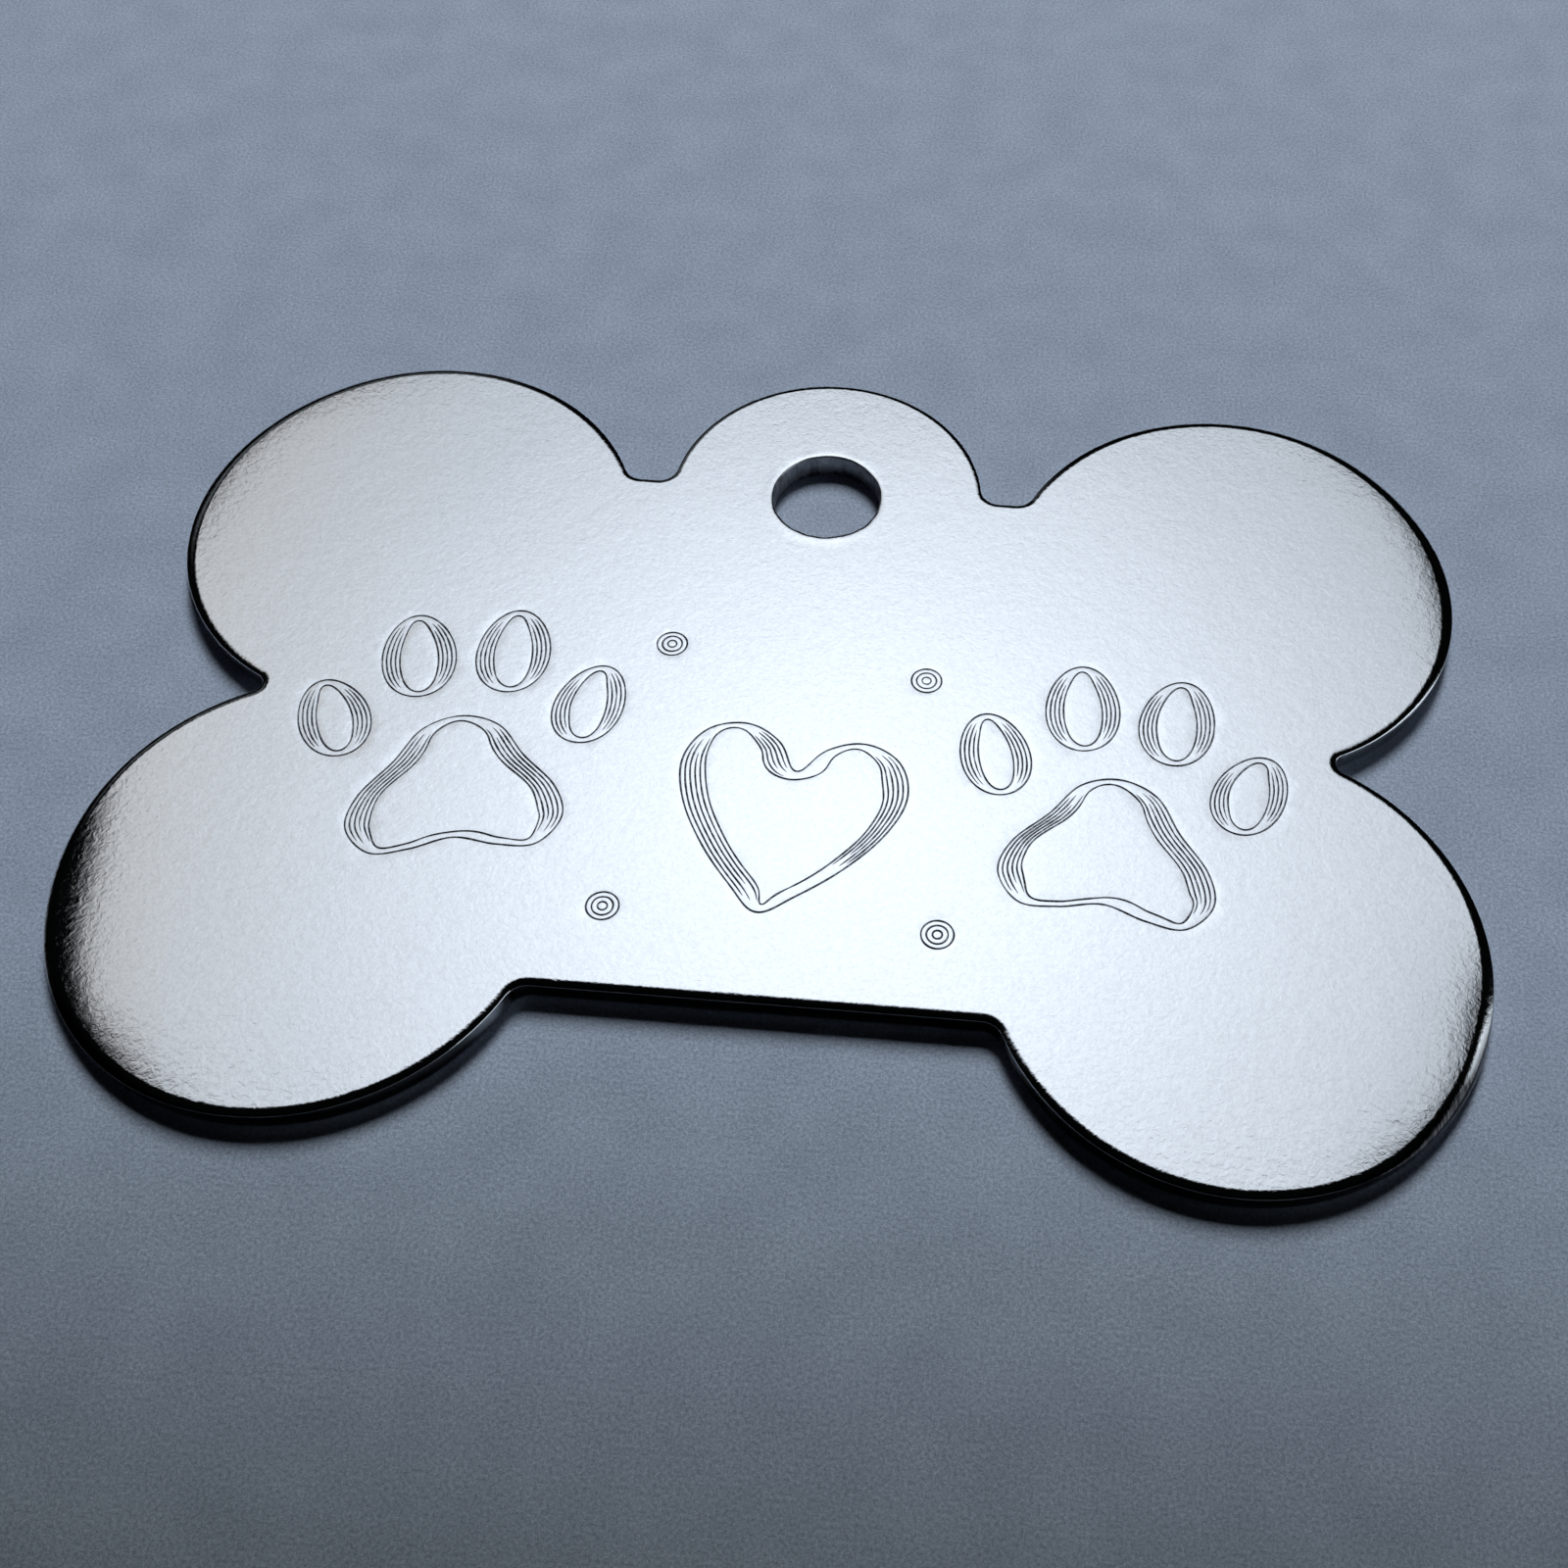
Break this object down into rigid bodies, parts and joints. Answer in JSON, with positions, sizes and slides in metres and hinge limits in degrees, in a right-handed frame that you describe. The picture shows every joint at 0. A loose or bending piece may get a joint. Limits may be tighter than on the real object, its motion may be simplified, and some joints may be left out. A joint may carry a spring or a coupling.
{
  "type": "pet id tag",
  "caption": "Flat mirror-polished metal pet identity tag in a bone outline, with a round ear holed for a split ring and a plain face for engraving.",
  "frame": {"origin": "bottom centre of the bounding box, in the plane of the back face", "axes": "+Z out of the engraved front face, +Y up the tag from the waist to the ear, +X to the right as the face is read"},
  "size_m": [0.0464, 0.032, 0.001],
  "materials": {
    "polished_metal": "mirror-polished bright metal with a slight orange peel, fine polishing streaks and rounded edges"
  },
  "bodies": {
    "root": {"tag_plate": "polished_metal"}
  },
  "joints": []
}
